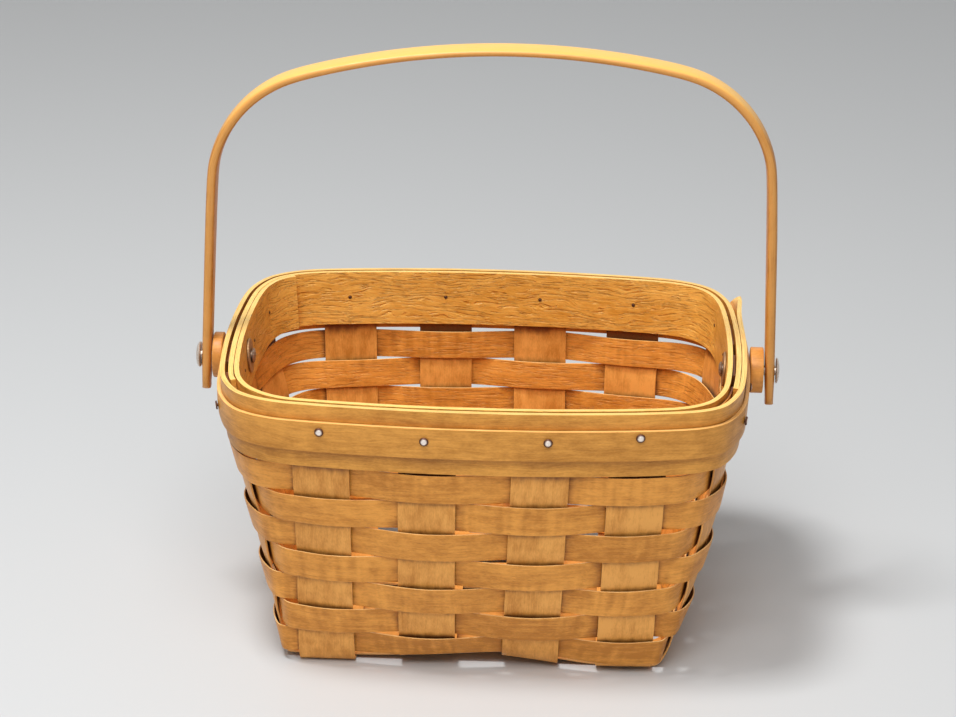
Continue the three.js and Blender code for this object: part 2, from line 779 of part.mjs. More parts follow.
// A rivet through the leg, the spacer, the rim and a washer on each side
const pivotOrigin = new THREE.Vector3(0, 0, pivotHeight);
const sideAxis = ({ sign }) => new THREE.Vector3(sign, 0, 0);
const pivotHole = rivetShankRadius + clearance;
const rivetSeat = (hand) =>
  pivotX(hand) + legHalf(hand) + Math.sin(hand.lean) * rivetHeadRadius + clearance;
const plugProfile = (radius, from, to) => [
  [0, from],
  [radius, from],
  [radius, to],
  [0, to],
];
const ringProfile = (hole, radius, from, to, edge) => [
  [hole, from],
  [radius - edge, from],
  [radius, from + edge],
  [radius, to - edge],
  [radius - edge, to],
  [hole, to],
  [hole, from],
];

function pivotDrill(hand) {
  const profile = plugProfile(pivotHole, pivotX(hand) / 2, pivotX(hand) * 1.1);
  return turned(profile, pivotSides, pivotOrigin, sideAxis(hand));
}

function addPivot(name) {
  const hand = hands[name];
  const start = spacerStart(hand);
  const end = start + hand.spacerLength;
  const spacer = ringProfile(pivotHole, spacerRadius, start, end, spacerEdge);
  addMesh(`spacer_${name}`, turned(spacer, roundSides, pivotOrigin, sideAxis(hand)), spacerWood);

  const lapIn = hand.sign < 0 ? layerStep : 0;
  const half = washerThickness / 2;
  const inside = -bandOffset - bandThickness / 2 - lapIn - clearance - half;
  const seat = wallAt(pivotDepth, pivotPlace(hand), inside);
  const washer = ringProfile(pivotHole + clearance, washerRadius, -half, half, half / 2);
  const centre = seat.point.setZ(pivotHeight);
  addMesh(`washer_${name}`, turned(washer, roundSides, centre, seat.normal), steel);

  const tilt = Math.abs(seat.normal.z) * clinchRadius;
  const clinchTop = Math.abs(centre.x) - half - tilt - clearance;
  const headSeat = rivetSeat(hand);
  const rivet = [
    [0, clinchTop - clinchHeight],
    [clinchRadius * 0.7, clinchTop - clinchHeight],
    [clinchRadius, clinchTop - clinchHeight / 2],
    [clinchRadius, clinchTop],
    [rivetShankRadius, clinchTop],
    [rivetShankRadius, headSeat],
    [rivetHeadRadius, headSeat],
    [rivetHeadRadius * 0.92, headSeat + hand.headHeight * 0.4],
    [rivetHeadRadius * 0.55, headSeat + hand.headHeight * 0.85],
    [0, headSeat + hand.headHeight],
  ];
  addMesh(`rivet_${name}`, turned(rivet, pivotSides, pivotOrigin, sideAxis(hand)), steel);
}

// Assembly
longStakes.forEach((_, k) => addLongStake(k));
crossOffsets.forEach((_, k) => addCrossStake(k));
for (let row = 1; row <= rowCount; row += 1) {
  addWeaver(row);
}
const nailDrills = stakeRing.map((_, index) => nailDrill(index));
const rimDrills = [...nailDrills, pivotDrill(hands.left), pivotDrill(hands.right)];
addMesh("outer_band", cutAll(outerBandGeometry(), rimDrills), bandWood);
addMesh("inner_band", cutAll(innerBandGeometry(), rimDrills), bandWood);
addMesh("trim_strip", cutAll(trimGeometry(), rimDrills), bandWood);
const sideNames = ["front", "right", "back", "left"];
stakeRing.forEach((stake, index) => {
  const number = stakeRing.slice(0, index + 1).filter((other) => other.side === stake.side).length;
  addNail(index, `nail_${sideNames[stake.side]}_${number}`);
});
addMesh("handle_bow", handleGeometry(), handleWood);
addPivot("right");
addPivot("left");

export default basket;
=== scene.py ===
"""Looks of a woven splint basket: grained splints, tarnished nails, turned spacers and a varnished bow."""

import logging
import math
from dataclasses import dataclass, field, replace
from enum import Enum

import bpy
import numpy as np
from mathutils import Matrix, Vector
from mathutils.bvhtree import BVHTree


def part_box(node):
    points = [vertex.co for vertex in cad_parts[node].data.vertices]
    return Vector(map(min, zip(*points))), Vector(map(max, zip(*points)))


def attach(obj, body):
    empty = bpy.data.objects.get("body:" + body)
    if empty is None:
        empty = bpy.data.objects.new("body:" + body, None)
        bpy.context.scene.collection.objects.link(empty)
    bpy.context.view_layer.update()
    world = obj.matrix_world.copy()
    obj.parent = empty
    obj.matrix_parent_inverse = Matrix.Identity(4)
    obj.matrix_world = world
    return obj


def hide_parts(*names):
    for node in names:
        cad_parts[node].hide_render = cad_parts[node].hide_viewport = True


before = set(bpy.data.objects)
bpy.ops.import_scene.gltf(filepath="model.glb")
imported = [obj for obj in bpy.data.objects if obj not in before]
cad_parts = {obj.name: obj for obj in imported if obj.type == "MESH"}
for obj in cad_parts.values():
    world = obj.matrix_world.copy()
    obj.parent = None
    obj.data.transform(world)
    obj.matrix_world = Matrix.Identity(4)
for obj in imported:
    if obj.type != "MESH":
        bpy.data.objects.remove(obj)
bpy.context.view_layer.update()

log = logging.getLogger("basket")

MM = 0.001
BASKET = "basket"
HANDLE = "handle"
PHOTO_WIDTH = 956
WELD = 0.002 * MM
SMOOTH_ANGLE = math.radians(35)
LATHE_SMOOTH_ANGLE = math.radians(40)
Colour = tuple[float, float, float]
Point = tuple[float, float, float]


class Run(Enum):
    """Which way a strip's grain runs."""

    AROUND = "around the basket"
    FRONT_TO_BACK = "down the front, under the base and up the back"
    SIDE_TO_SIDE = "down one side, under the base and up the other"
    BOW = "over the bow from leg to leg"


class Side(Enum):
    """A side of the basket that carries a pivot. Its value is the way out along x."""

    RIGHT = 1
    LEFT = -1

    def node(self, kind: str) -> str:
        """Names the CAD node of one kind on this side."""
        return f"{kind}_{self.name.lower()}"


# Meshes


def deselect_all() -> None:
    """Leaves object mode with nothing selected."""
    if bpy.context.object and bpy.context.object.mode != "OBJECT":
        bpy.ops.object.mode_set(mode="OBJECT")
    bpy.ops.object.select_all(action="DESELECT")


def make_active(piece: bpy.types.Object) -> None:
    """Selects one object alone and makes it the active one.

    Args:
        piece: the object.
    """
    deselect_all()
    piece.select_set(True)
    bpy.context.view_layer.objects.active = piece


def new_object(name: str, mesh: bpy.types.Mesh) -> bpy.types.Object:
    """Puts a mesh into the scene as an object at the origin.

    Args:
        name: the object's name.
        mesh: its mesh.

    Returns:
        The new object.
    """
    piece = bpy.data.objects.new(name, mesh)
    bpy.context.scene.collection.objects.link(piece)
    return piece


def copy_of_node(node: str, name: str) -> bpy.types.Object:
    """Copies a CAD node's mesh into a new object, welded and turned into quads.

    Args:
        node: the CAD node's name.
        name: the new object's name.

    Returns:
        The new object, at the origin.
    """
    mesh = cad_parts[node].data.copy()
    mesh.name = name
    mesh.materials.clear()
    piece = new_object(name, mesh)
    make_active(piece)
    bpy.ops.object.mode_set(mode="EDIT")
    bpy.ops.mesh.select_all(action="SELECT")
    bpy.ops.mesh.remove_doubles(threshold=WELD)
    bpy.ops.mesh.customdata_custom_splitnormals_clear()
    bpy.ops.mesh.tris_convert_to_quads(face_threshold=math.radians(40), shape_threshold=math.radians(70))
    bpy.ops.object.mode_set(mode="OBJECT")
    return piece


def apply_modifiers(piece: bpy.types.Object) -> None:
    """Applies every modifier of one object, in order.

    Args:
        piece: the object.
    """
    make_active(piece)
    for modifier in list(piece.modifiers):
        bpy.ops.object.modifier_apply(modifier=modifier.name)


def points_of(piece: bpy.types.Object) -> np.ndarray:
    """Reads an object's vertices.

    Args:
        piece: the object.

    Returns:
        A row of x, y, z for each vertex.
    """
    flat = np.zeros(len(piece.data.vertices) * 3)
    piece.data.vertices.foreach_get("co", flat)
    return flat.reshape(-1, 3)


def normals_of(piece: bpy.types.Object) -> np.ndarray:
    """Reads an object's vertex normals.

    Args:
        piece: the object.

    Returns:
        A row of x, y, z for each vertex.
    """
    flat = np.zeros(len(piece.data.vertices) * 3)
    piece.data.vertex_normals.foreach_get("vector", flat)
    return flat.reshape(-1, 3)


def face_normals_of(piece: bpy.types.Object) -> np.ndarray:
    """Reads an object's face normals.

    Args:
        piece: the object.

    Returns:
        A row of x, y, z for each face.
    """
    flat = np.zeros(len(piece.data.polygons) * 3)
    piece.data.polygons.foreach_get("normal", flat)
    return flat.reshape(-1, 3)


def ramp(values: np.ndarray, low: float, high: float) -> np.ndarray:
    """Maps values from low..high to 0..1, and stops them there."""
    return np.clip((values - low) / (high - low), 0, 1)


def write_attribute(piece: bpy.types.Object, name: str, kind: str, domain: str, values: np.ndarray) -> None:
    """Writes one attribute of a mesh.

    Args:
        piece: the object whose mesh gets it.
        name: the attribute's name.
        kind: its data type, FLOAT or FLOAT_VECTOR.
        domain: POINT or FACE.
        values: one value or one row for each element.
    """
    attribute = piece.data.attributes.new(name, kind, domain)
    key = "vector" if kind == "FLOAT_VECTOR" else "value"
    attribute.data.foreach_set(key, values.astype(np.float32).ravel())


# Grain: where each point lies in the straight strip before it was bent

SECTOR = math.radians(2)
LEAN_DEGREE = 6


@dataclass(frozen=True)
class Unwinding:
    """How a bent strip is laid out straight: the plane it bends in, its centre, and its width."""

    first: int
    second: int
    across: int
    centre: tuple[float, float]

    def spokes(self, piece: bpy.types.Object) -> tuple[np.ndarray, np.ndarray]:
        """Gives each point's turn about the centre, within one round, and its reach."""
        spokes = points_of(piece)[:, (self.first, self.second)] - np.array(self.centre)
        return np.arctan2(spokes[:, 1], spokes[:, 0]), np.hypot(spokes[:, 0], spokes[:, 1])

    def count_turns(self, piece: bpy.types.Object) -> None:
        """Walks over the edges from one point to the next, adding up the turn about the centre.

        The sum goes on past a full round where the strip laps. It is kept as an attribute.

        Args:
            piece: a strip whose mesh is one body.
        """
        turn = self.spokes(piece)[0].tolist()
        near: list[list[int]] = [[] for _ in turn]
        for edge in piece.data.edges:
            here, there = edge.vertices
            near[here].append(there)
            near[there].append(here)
        angle: list[float | None] = [None] * len(turn)
        angle[0] = turn[0]
        waiting = [0]
        while waiting:
            here = waiting.pop()
            for there in near[here]:
                if angle[there] is None:
                    angle[there] = angle[here] + (turn[there] - turn[here] + math.pi) % math.tau - math.pi
                    waiting.append(there)
        write_attribute(piece, "turn", "FLOAT", "POINT", np.array(angle, dtype=float))

    def lay_out(self, piece: bpy.types.Object) -> np.ndarray:
        """Gives each point its place along, across and through the straight strip.

        Args:
            piece: a strip whose turns are counted.

        Returns:
            Rows of along, across and through, in metres.
        """
        points = points_of(piece)
        turn, reach = self.spokes(piece)
        counted = np.zeros(len(points))
        piece.data.attributes["turn"].data.foreach_get("value", counted)
        piece.data.attributes.remove(piece.data.attributes["turn"])
        angle = turn + math.tau * np.round((counted - turn) / math.tau)
        sector = np.floor((angle - angle.min()) / SECTOR).astype(int)
        count = np.bincount(sector)
        used = count > 0
        mean_angle, mean_reach = (np.bincount(sector, v)[used] / count[used] for v in (angle, reach))
        u, v = mean_reach * np.cos(mean_angle), mean_reach * np.sin(mean_angle)
        length = np.concatenate([[0], np.cumsum(np.hypot(np.diff(u), np.diff(v)))])
        beyond = angle - np.clip(angle, mean_angle[0], mean_angle[-1])
        along = np.interp(angle, mean_angle, length) + beyond * reach
        through = reach - np.interp(angle, mean_angle, mean_reach)
        place = points[:, self.across]
        lean = np.polynomial.Polynomial.fit(along, place, LEAN_DEGREE)
        return np.stack([along, place - lean(along), through], axis=1)


def unwinding_of(run: Run, piece: bpy.types.Object) -> Unwinding:
    """Chooses the plane and the centre for a strip by the way that it runs.

    Args:
        run: the way that it runs.
        piece: the strip.

    Returns:
        How it is laid out straight.
    """
    points = points_of(piece)
    low, high = points.min(0), points.max(0)
    middle = (low + high) / 2
    if run is Run.AROUND:
        return Unwinding(0, 1, 2, (middle[0], middle[1]))
    if run is Run.FRONT_TO_BACK:
        return Unwinding(1, 2, 0, (0.0, high[2]))
    if run is Run.SIDE_TO_SIDE:
        return Unwinding(0, 2, 1, (0.0, high[2]))
    return Unwinding(0, 2, 1, (0.0, low[2]))


@dataclass
class Crevices:
    """Finds how closed in each point of a strip is by the pieces next to it, which sets the painted crevice
    shade.
    """

    reach: float = 3.2 * MM
    lift: float = 0.1 * MM
    ray_count: int = 12
    ray_length: float = 0.98
    passes: int = 3
    strips: tuple[str, ...] = ("stake_", "weaver_", "outer_", "inner_", "trim_")
    rays: np.ndarray = field(init=False)
    solids: dict[str, tuple[list, list]] = field(init=False, default_factory=dict)

    def __post_init__(self) -> None:
        """Spreads the rays evenly, and reads the solids of every wooden strip.

        A ray is added to a normal, and is a little shorter, so that the two never cancel out.
        """
        steps = np.arange(self.ray_count) + 0.5
        rise = 1 - 2 * steps / self.ray_count
        flat = np.sqrt(1 - rise**2)
        swing = steps * math.pi * (3 - math.sqrt(5))
        self.rays = np.stack([flat * np.cos(swing), flat * np.sin(swing), rise], axis=1) * self.ray_length
        for name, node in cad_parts.items():
            if name.startswith(self.strips):
                faces = [tuple(face.vertices) for face in node.data.polygons]
                self.solids[name] = (points_of(node).tolist(), faces)

    def tree_without(self, node: str) -> BVHTree:
        """Gathers every solid but one.

        Args:
            node: the CAD node that is left out.

        Returns:
            A search tree of the rest.
        """
        corners: list = []
        faces: list = []
        for name, (own_corners, own_faces) in self.solids.items():
            if name == node:
                continue
            start = len(corners)
            corners += own_corners
            faces += [tuple(start + k for k in face) for face in own_faces]
        return BVHTree.FromPolygons(corners, faces)

    def closeness(self, piece: bpy.types.Object, node: str) -> np.ndarray:
        """Casts short rays from each point of a piece.

        Args:
            piece: the piece.
            node: the CAD node that it stands for, which is left out.

        Returns:
            The share of the rays that meet another strip, from 0 to 1.
        """
        tree = self.tree_without(node)
        points, normals = points_of(piece), normals_of(piece)
        starts = (points + normals * self.lift).tolist()
        share = np.zeros(len(points))
        for ray in self.rays:
            ways = (normals + ray).tolist()
            met = [tree.ray_cast(start, way, self.reach)[0] is not None for start, way in zip(starts, ways)]
            share += np.array(met)
        return self.softened(piece, share / self.ray_count)

    def softened(self, piece: bpy.types.Object, values: np.ndarray) -> np.ndarray:
        """Averages the values of a piece's points with those of their neighbours.

        Args:
            piece: the piece.
            values: one value for each point.

        Returns:
            The averaged values.
        """
        ends = np.zeros(2 * len(piece.data.edges), dtype=int)
        piece.data.edges.foreach_get("vertices", ends)
        first, second = ends.reshape(-1, 2).T
        shared = 1.0 + np.bincount(ends, minlength=len(values))
        for _ in range(self.passes):
            total = values.copy()
            np.add.at(total, first, values[second])
            np.add.at(total, second, values[first])
            values = total / shared
        return values


# Shader building


class Graph:
    """A small helper that adds and links the nodes of one node tree."""

    def __init__(self, tree: bpy.types.NodeTree) -> None:
        """Keeps the tree."""
        self.tree = tree

    def put(self, socket: bpy.types.NodeSocket, value: object) -> None:
        """Links another node's output to a socket, or sets the socket's own value.

        Args:
            socket: the input socket.
            value: an output socket, a number, a vector, or a colour without its alpha.
        """
        if isinstance(value, bpy.types.NodeSocket):
            self.tree.links.new(value, socket)
        elif socket.type == "RGBA":
            socket.default_value = (*value, 1)
        else:
            socket.default_value = value

    def add(self, kind: str, **values: object) -> bpy.types.Node:
        """Adds a node and sets its properties and inputs.

        Args:
            kind: the node's type name without its ShaderNode start.
            values: properties by name, or inputs by name with spaces written as underscores.

        Returns:
            The node.
        """
        node = self.tree.nodes.new(kind if kind.startswith("Node") else "ShaderNode" + kind)
        for key, value in values.items():
            if hasattr(node, key) and not isinstance(value, bpy.types.NodeSocket):
                setattr(node, key, value)
            else:
                self.put(node.inputs[key.replace("_", " ")], value)
        return node

    def math(self, operation: str, *terms: object, clamp: bool = False) -> bpy.types.NodeSocket:
        """Adds a Math node.

        Args:
            operation: what it does.
            terms: sockets or numbers.
            clamp: whether the result stays within 0 and 1.

        Returns:
            The result.
        """
        node = self.add("Math", operation=operation, use_clamp=clamp)
        for socket, term in zip(node.inputs, terms):
            self.put(socket, term)
        return node.outputs[0]

    def swing(self, value: bpy.types.NodeSocket, share: object) -> bpy.types.NodeSocket:
        """Turns a value around one half into a swing around zero of a given share."""
        return self.math("MULTIPLY", self.math("SUBTRACT", value, 0.5), share)

    def spread(self, value: bpy.types.NodeSocket, low: float, high: float) -> bpy.types.NodeSocket:
        """Maps a value from low..high to 0..1, smoothly."""
        node = self.add("MapRange", interpolation_type="SMOOTHSTEP", Value=value, From_Min=low, From_Max=high)
        return node.outputs["Result"]

    def vector(self, operation: str, first: object, second: object) -> bpy.types.NodeSocket:
        """Adds a Vector Math node.

        Args:
            operation: what it does.
            first: a socket or a vector.
            second: the same.

        Returns:
            The result.
        """
        node = self.add("VectorMath", operation=operation)
        self.put(node.inputs[0], first)
        self.put(node.inputs[1], second)
        return node.outputs[0]

    def scaled(self, vector: bpy.types.NodeSocket, *scale: float) -> bpy.types.NodeSocket:
        """Multiplies a vector by a scale for each axis."""
        return self.vector("MULTIPLY", vector, scale)

    def noise(
        self, vector: bpy.types.NodeSocket, detail: float = 2, distortion: float = 0
    ) -> bpy.types.NodeSocket:
        """Adds a Noise texture of scale 1 and gives its value."""
        node = self.add("TexNoise", Vector=vector, Scale=1.0, Detail=detail, Distortion=distortion)
        return node.outputs[0]

    def attribute(self, name: str, output: str = "Fac") -> bpy.types.NodeSocket:
        """Reads one attribute of the mesh."""
        return self.add("Attribute", attribute_name=name).outputs[output]

    def mix(self, share: object, first: object, second: object) -> bpy.types.NodeSocket:
        """Mixes two colours.

        Args:
            share: how much of the second, as a socket or a number.
            first: a socket or a colour.
            second: the same.

        Returns:
            The mixed colour.
        """
        node = self.add("Mix", data_type="RGBA")
        factor, colour_a, colour_b = (node.inputs[k] for k in (0, 6, 7))
        for socket, term in ((factor, share), (colour_a, first), (colour_b, second)):
            self.put(socket, term)
        return node.outputs[2]


def new_group(name: str, inputs: dict[str, object], outputs: dict[str, str]) -> bpy.types.NodeTree:
    """Makes a shader node group with named sockets.

    Args:
        name: the group's name.
        inputs: default by input name: a number, a colour of three, or None for a vector.
        outputs: socket type by output name.

    Returns:
        The group, with its input and output nodes.
    """
    group = bpy.data.node_groups.new(name, "ShaderNodeTree")
    for label, default in inputs.items():
        kind = "Float" if isinstance(default, (int, float)) else "Vector" if default is None else "Color"
        socket = group.interface.new_socket(label, in_out="INPUT", socket_type="NodeSocket" + kind)
        if kind == "Float":
            socket.default_value = default
        elif kind == "Color":
            socket.default_value = (*default, 1)
    for label, kind in outputs.items():
        group.interface.new_socket(label, in_out="OUTPUT", socket_type="NodeSocket" + kind)
    return group


def grain_group() -> bpy.types.NodeTree:
    """Builds the group that gives split wood its fibres, streaks, curl, chatter marks and flecks.

    Returns:
        A group with Color, Roughness and Height outputs.
    """
    group = new_group(
        "split_wood_grain",
        {
            "Grain": None,
            "Light": (0.7, 0.38, 0.14),
            "Dark": (0.45, 0.2, 0.06),
            "Tint": 0.5,
            "Streaks": 0.5,
            "Waves": 0.2,
            "Curl": 0.3,
            "Chatter": 0.2,
            "Rough Side": 0.0,
            "Flecks": 0.3,
        },
        {"Color": "Color", "Roughness": "Float", "Height": "Float"},
    )
    g = Graph(group)
    source = g.add("NodeGroupInput").outputs
    grain = source["Grain"]
    # Each scale is in waves for a metre: along, across and through the strip
    warp = g.noise(g.scaled(grain, 22, 60, 60), detail=2)
    wavy = g.swing(warp, g.math("MULTIPLY", source["Waves"], 0.02))
    bent = g.vector("ADD", grain, g.add("CombineXYZ", Y=wavy).outputs[0])
    broad = g.noise(g.scaled(bent, 12, 60, 60), detail=2)
    streak = g.noise(g.scaled(bent, 40, 800, 150), detail=2)
    fibre = g.noise(g.scaled(bent, 120, 2600, 200), detail=2)
    curl = g.noise(g.scaled(bent, 230, 30, 40), detail=1)
    patch = g.spread(g.noise(g.scaled(grain, 14, 30, 30), detail=1), 0.42, 0.62)
    fleck = g.spread(g.noise(g.scaled(bent, 190, 3000, 200), detail=1), 0.66, 0.76)
    mottle = g.noise(g.scaled(grain, 110, 240, 100), detail=3)
    pores = g.noise(g.scaled(grain, 600, 1500, 200), detail=1)
    ripple = g.noise(g.scaled(bent, 90, 1000, 120), detail=2, distortion=0.5)
    side = g.math("MULTIPLY_ADD", source["Rough Side"], 0.8, 0.2)
    chatter = g.math("MULTIPLY", g.math("MULTIPLY", g.spread(ripple, 0.53, 0.66), source["Chatter"]), side)
    curly = g.math("MULTIPLY", g.swing(curl, patch), source["Curl"])

    tone = g.math("MULTIPLY_ADD", g.math("SUBTRACT", broad, 0.5), 1.4, 0.45)
    for value, share in ((streak, source["Streaks"]), (fibre, 0.6), (mottle, 1.5), (pores, 0.7)):
        tone = g.math("ADD", tone, g.swing(value, share))
    tone = g.math("ADD", tone, curly)
    tone = g.math("ADD", tone, g.math("MULTIPLY", chatter, 0.15))
    tone = g.math("ADD", tone, g.math("SUBTRACT", source["Tint"], 0.5))
    tone = g.math("ADD", tone, g.math("MULTIPLY", fleck, source["Flecks"]), clamp=True)
    colour = g.mix(tone, source["Light"], source["Dark"])

    height = g.math("MULTIPLY_ADD", fibre, 0.35, g.math("MULTIPLY", streak, 0.6))
    height = g.math("SUBTRACT", height, g.math("MULTIPLY", fleck, 0.5))
    height = g.math("ADD", height, g.math("MULTIPLY", curly, 0.8))
    height = g.math("SUBTRACT", height, chatter)
    rough = g.math("MULTIPLY_ADD", g.math("SUBTRACT", fibre, 0.5), 0.16, 0.43)
    g.add("NodeGroupOutput", Color=colour, Roughness=rough, Height=height)
    return group


def sawn_edge_and_highlight_group() -> bpy.types.NodeTree:
    """Builds the group that pales the sawn edges of a strip and shows their layers. The pale edge colour is
    partly the sawn wood's own and partly a painted highlight of the top edges that catch the light.

    Returns:
        A group with a Color output.
    """
    group = new_group(
        "sawn_edge",
        {"Grain": None, "Cut": 0.0, "Wood": (0.7, 0.4, 0.15), "Edge": (0.85, 0.62, 0.3)},
        {"Color": "Color"},
    )
    g = Graph(group)
    source = g.add("NodeGroupInput").outputs
    layers = g.noise(g.scaled(source["Grain"], 60, 300, 2400), detail=2)
    pale = g.mix(g.math("MULTIPLY", g.spread(layers, 0.35, 0.65), 0.6), source["Edge"], source["Wood"])
    g.add("NodeGroupOutput", Color=g.mix(source["Cut"], source["Wood"], pale))
    return group


def crevice_group() -> bpy.types.NodeTree:
    """Builds the group that browns the wood beside a crossing, where other strips close it in: painted shade
    in the crevice, with some settled dust.

    Returns:
        A group with a Color output.
    """
    group = new_group(
        "crevice_stain",
        {
            "Grain": None,
            "Closed": 0.0,
            "Wood": (0.7, 0.4, 0.15),
            "Stain": (0.13, 0.028, 0.008),
            "Depth": 0.95,
        },
        {"Color": "Color"},
    )
    g = Graph(group)
    source = g.add("NodeGroupInput").outputs
    ragged = g.noise(g.scaled(source["Grain"], 120, 300, 300), detail=2)
    # Painted crevice shade, with some dust: the more closed in, the browner.
    closed = g.math("MULTIPLY_ADD", g.math("SUBTRACT", ragged, 0.5), 0.25, source["Closed"])
    share = g.math("MULTIPLY", g.spread(closed, 0.24, 0.58), source["Depth"])
    g.add("NodeGroupOutput", Color=g.mix(share, source["Wood"], source["Stain"]))
    return group


GRAIN = grain_group()
SAWN_EDGE_AND_HIGHLIGHT = sawn_edge_and_highlight_group()
CREVICE = crevice_group()


# Finishes


@dataclass(frozen=True)
class Finish:
    """A finish, whose material is made once and then shared."""

    name: str

    def material(self) -> bpy.types.Material:
        """Makes the material, or finds the one made before.

        Returns:
            The material.
        """
        made = bpy.data.materials.get(self.name)
        if made is None:
            made = bpy.data.materials.new(self.name)
            made.use_nodes = True
            self.dress(Graph(made.node_tree), made.node_tree.nodes["Principled BSDF"].inputs)
        return made

    def dress(self, g: Graph, shader: bpy.types.NodeInputs) -> None:
        """Feeds the shader. Each kind of finish does this in its own way."""
        raise NotImplementedError


@dataclass(frozen=True)
class WoodFinish(Finish):
    """A varnished wood: its colours, how strong each part of its figure is, and its gloss."""

    light: Colour
    dark: Colour
    # The sawn edges' pale colour, partly a painted highlight.
    edge: Colour
    streaks: float = 0.5
    waves: float = 0.2
    curl: float = 0.3
    chatter: float = 0.2
    flecks: float = 0.2
    relief: float = 0.1
    # How far painted crevice shade, with some dust, browns the wood.
    stain: float = 0.9
    coat: float = 0.08
    coat_roughness: float = 0.28
    specular: float = 0.3
    # The colour of a painted highlight on faces that look up, or None.
    faded: Colour | None = None

    def dress(self, g: Graph, shader: bpy.types.NodeInputs) -> None:
        """Lays grain, a painted highlight on the bow's top, pale sawn edges that are partly a painted
        highlight, and painted crevice shade with some dust over each other.

        Args:
            g: the material's nodes.
            shader: the shader's inputs.
        """
        place = g.attribute("grain", "Vector")
        grain = g.add(
            "Group",
            node_tree=GRAIN,
            Grain=place,
            Light=self.light,
            Dark=self.dark,
            Tint=g.attribute("tint"),
            Streaks=self.streaks,
            Waves=self.waves,
            Curl=self.curl,
            Chatter=self.chatter,
            Rough_Side=g.attribute("rough_side"),
            Flecks=self.flecks,
        ).outputs
        wood = grain["Color"]
        # Painted highlight: faces that look up are mixed towards a paler yellow, where the light falls on the
        # bow's top.
        if self.faded:
            wood = g.mix(g.attribute("faded"), wood, self.faded)
        cut, closed = g.attribute("cut"), g.attribute("closed")
        pale = g.add("Group", node_tree=SAWN_EDGE_AND_HIGHLIGHT, Grain=place, Cut=cut, Wood=wood, Edge=self.edge)
        edge = pale.outputs["Color"]
        # Painted shade, with some dust, browns the wood where other strips close it in.
        dusted_and_shaded = g.add("Group", node_tree=CREVICE, Grain=place, Closed=closed, Wood=edge, Depth=self.stain)
        bump = g.add("Bump", Height=grain["Height"], Strength=1.0, Distance=self.relief * MM)
        g.put(shader["Base Color"], dusted_and_shaded.outputs["Color"])
        g.put(shader["Roughness"], grain["Roughness"])
        g.put(shader["Normal"], bump.outputs[0])
        g.put(shader["Specular IOR Level"], self.specular)
        g.put(shader["Coat Weight"], self.coat)
        g.put(shader["Coat Roughness"], self.coat_roughness)


# The bands' pale yellow sawn edges, made paler still as a painted highlight of their lit top edges.
RIM_EDGE_AND_HIGHLIGHT = (0.92, 0.63, 0.195)
STAKE_WOOD = WoodFinish(
    "stake_wood",
    (0.90, 0.42, 0.095),
    (0.58, 0.225, 0.034),
    (0.90, 0.52, 0.18),
    curl=0.6,
    chatter=0.1,
)
WEAVER_WOOD = WoodFinish(
    "weaver_wood",
    (0.88, 0.378, 0.066),
    (0.54, 0.20, 0.024),
    (0.94, 0.62, 0.26),
    streaks=0.9,
    curl=1.4,
    chatter=1.2,
    relief=0.2,
)
BAND_WOOD = WoodFinish(
    "band_wood",
    (0.84, 0.385, 0.069),
    (0.52, 0.21, 0.027),
    RIM_EDGE_AND_HIGHLIGHT,
    streaks=1.1,
    waves=0.5,
    chatter=1.5,
    stain=0.2,
)
TRIM_WOOD = replace(
    BAND_WOOD,
    name="trim_wood",
    light=(0.80, 0.36, 0.064),
    edge=(0.92, 0.54, 0.19),
    stain=0.3,
)
# The inner band has lighter colours than the outer band: painted light, standing for the light that falls on
# the inside of the back wall.
INNER_WOOD = WoodFinish(
    "inner_band_wood",
    (0.98, 0.52, 0.105),
    (0.72, 0.32, 0.04),
    RIM_EDGE_AND_HIGHLIGHT,
    streaks=0.8,
    waves=0.7,
    chatter=1.3,
    relief=0.42,
    stain=0.3,
)
BOW_WOOD = WoodFinish(
    "bow_wood",
    (0.75, 0.325, 0.074),
    (0.49, 0.185, 0.027),
    # The bow's edges are a little darker, painted shade that tones down its lit top edge.
    (0.69, 0.33, 0.085),
    streaks=1.2,
    # The paler yellow of the painted highlight on the bow's top.
    faded=(0.83, 0.49, 0.115),
)
SPACER_WOOD = WoodFinish(
    "turned_spacer_wood",
    (0.73, 0.31, 0.064),
    (0.47, 0.175, 0.027),
    (0.90, 0.50, 0.14),
    streaks=1.4,
    chatter=0,
)


# Splints, bands and bow


